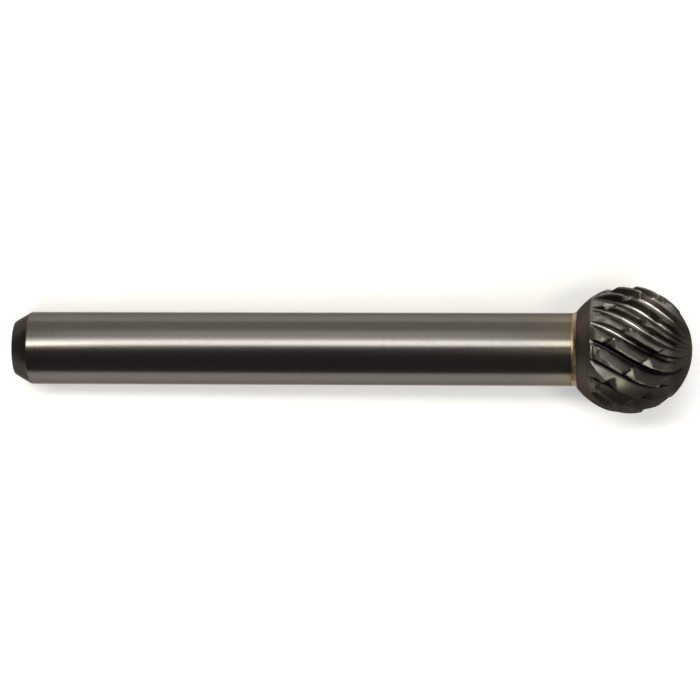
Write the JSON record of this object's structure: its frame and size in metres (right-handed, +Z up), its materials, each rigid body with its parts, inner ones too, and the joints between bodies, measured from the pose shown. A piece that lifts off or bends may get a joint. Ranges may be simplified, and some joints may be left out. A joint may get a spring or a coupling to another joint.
{
  "type": "carbide burr",
  "caption": "Ball-shaped rotary burr: a fluted, chip-broken carbide ball brazed on a plain round steel shank with a chamfered end.",
  "frame": {"origin": "on the table under the middle of the tool's length, as it lies", "axes": "+X along the tool, from the shank's free end towards the ball; +Z up from the table"},
  "size_m": [0.0596, 0.011, 0.011],
  "materials": {
    "ground_steel": "ground, with a straw heat tint by the braze",
    "silver_braze": "as run, bright gold",
    "ground_carbide": "dark, ground flutes with bright edges"
  },
  "bodies": {
    "root": {"steel_shank": "ground_steel", "braze_joint": "silver_braze", "carbide_head": "ground_carbide"}
  },
  "joints": []
}
